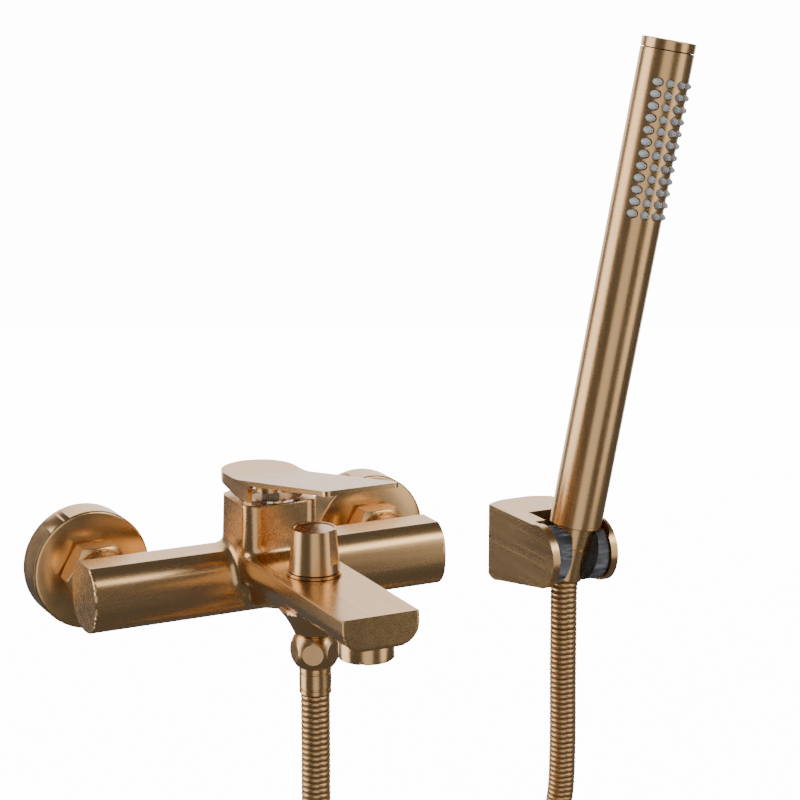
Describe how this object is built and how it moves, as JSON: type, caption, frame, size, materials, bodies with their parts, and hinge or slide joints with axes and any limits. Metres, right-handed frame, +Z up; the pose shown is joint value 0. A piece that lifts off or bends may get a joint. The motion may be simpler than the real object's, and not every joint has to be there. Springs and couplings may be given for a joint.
{
  "type": "wall mounted bath faucet",
  "caption": "Wall mounted bath and shower mixer with a lever, a diverter knob on the spout, a stick hand shower on a metal hose, and a tilting wall bracket.",
  "frame": {"origin": "on the wall plane, midway between the two water connections", "axes": "+X right as the user faces the wall, -Y out of the wall towards the user, +Z up"},
  "size_m": [0.3347, 0.2035, 0.5522],
  "materials": {
    "bronze": "brushed copper bronze plating",
    "hose_winding": "bronze plated metal winding round a rubber tube",
    "chrome_trim": "polished",
    "steel": "plain steel",
    "grey_plastic": "satin moulded",
    "black_plastic": "moulded",
    "black_rubber": "moulded",
    "silicone": "soft silicone"
  },
  "bodies": {
    "mixer": {"aerator_housing": "bronze", "aerator_insert": "grey_plastic", "bracket_shell": "bronze", "bracket_wall_plate": "steel", "cartridge_case": "black_plastic", "cartridge_nut": "bronze", "coil_tie_bottom": "black_plastic", "coil_tie_top": "black_plastic", "diverter_case": "black_plastic", "diverter_ring": "bronze", "dress_ring": "chrome_trim", "hose_coil": "hose_winding", "hose_ferrule": "bronze", "hose_gasket": "black_rubber", "hose_mixer_leg": "hose_winding", "hose_nut": "bronze", "hose_shower_leg": "hose_winding", "left_inlet_gasket": "black_rubber", "left_pivot_pin": "steel", "left_union_nut": "bronze", "left_wall_rose": "bronze", "left_wall_union": "bronze", "lower_bracket_screw": "steel", "lower_wall_plug": "grey_plastic", "mixer_body": "bronze", "right_inlet_gasket": "black_rubber", "right_pivot_pin": "steel", "right_union_nut": "bronze", "right_wall_rose": "bronze", "right_wall_union": "bronze", "upper_bracket_screw": "steel", "upper_wall_plug": "grey_plastic"},
    "temperature": {"cartridge_rotor": "black_plastic"},
    "lever": {"lever_handle": "bronze", "cartridge_stem": "steel", "lever_set_screw": "steel", "lever_screw_plug": "bronze"},
    "diverter": {"diverter_knob": "bronze", "diverter_spindle": "steel"},
    "holder": {"holder_insert": "grey_plastic"},
    "hose_end": {"swivel_ball": "steel"},
    "hose_collar": {"hose_end_sleeve": "steel"},
    "handset": {"cone_nut": "bronze", "barrel": "bronze", "end_cap": "bronze", "nozzle_mat": "silicone", "shower_socket": "bronze", "water_tube": "grey_plastic", "cone_gasket": "black_rubber"}
  },
  "joints": [
    {"name": "lever_turn", "type": "hinge", "parent": "mixer", "child": "temperature", "pos_m": [0, -0.0625, 0.03], "axis": [0, 0, 1], "range_deg": [-45, 45]},
    {"name": "lever_lift", "type": "hinge", "parent": "temperature", "child": "lever", "pos_m": [0, -0.0625, 0.03], "axis": [-1, 0, 0], "range_deg": [0, 12]},
    {"name": "diverter_turn", "type": "hinge", "parent": "mixer", "child": "diverter", "pos_m": [0, -0.1125, 0.02], "axis": [0, 0, 1], "range_deg": [0, 90]},
    {"name": "handset_lift", "type": "slide", "parent": "mixer", "child": "hose_end", "axis": [0.1822, -0.0275, 0.9829], "range_m": [0, 0.036]},
    {"name": "handset_tilt", "type": "hinge", "parent": "hose_end", "child": "hose_collar", "pos_m": [0.1687, -0.0585, -0.012], "axis": [1, 0, 0], "range_deg": [-1.6, 27.9]},
    {"name": "handset_spin", "type": "hinge", "parent": "hose_collar", "child": "handset", "pos_m": [0.1687, -0.0585, -0.012], "axis": [0.1822, -0.0275, 0.9829], "continuous": true},
    {"name": "holder_tilt", "type": "hinge", "parent": "mixer", "child": "holder", "pos_m": [0.1687, -0.0585, -0.012], "axis": [1, 0, 0], "range_deg": [-1.6, 27.9]}
  ],
  "couplings": [
    {"joint": "holder_tilt", "follows": "handset_tilt", "ratio": 1}
  ]
}
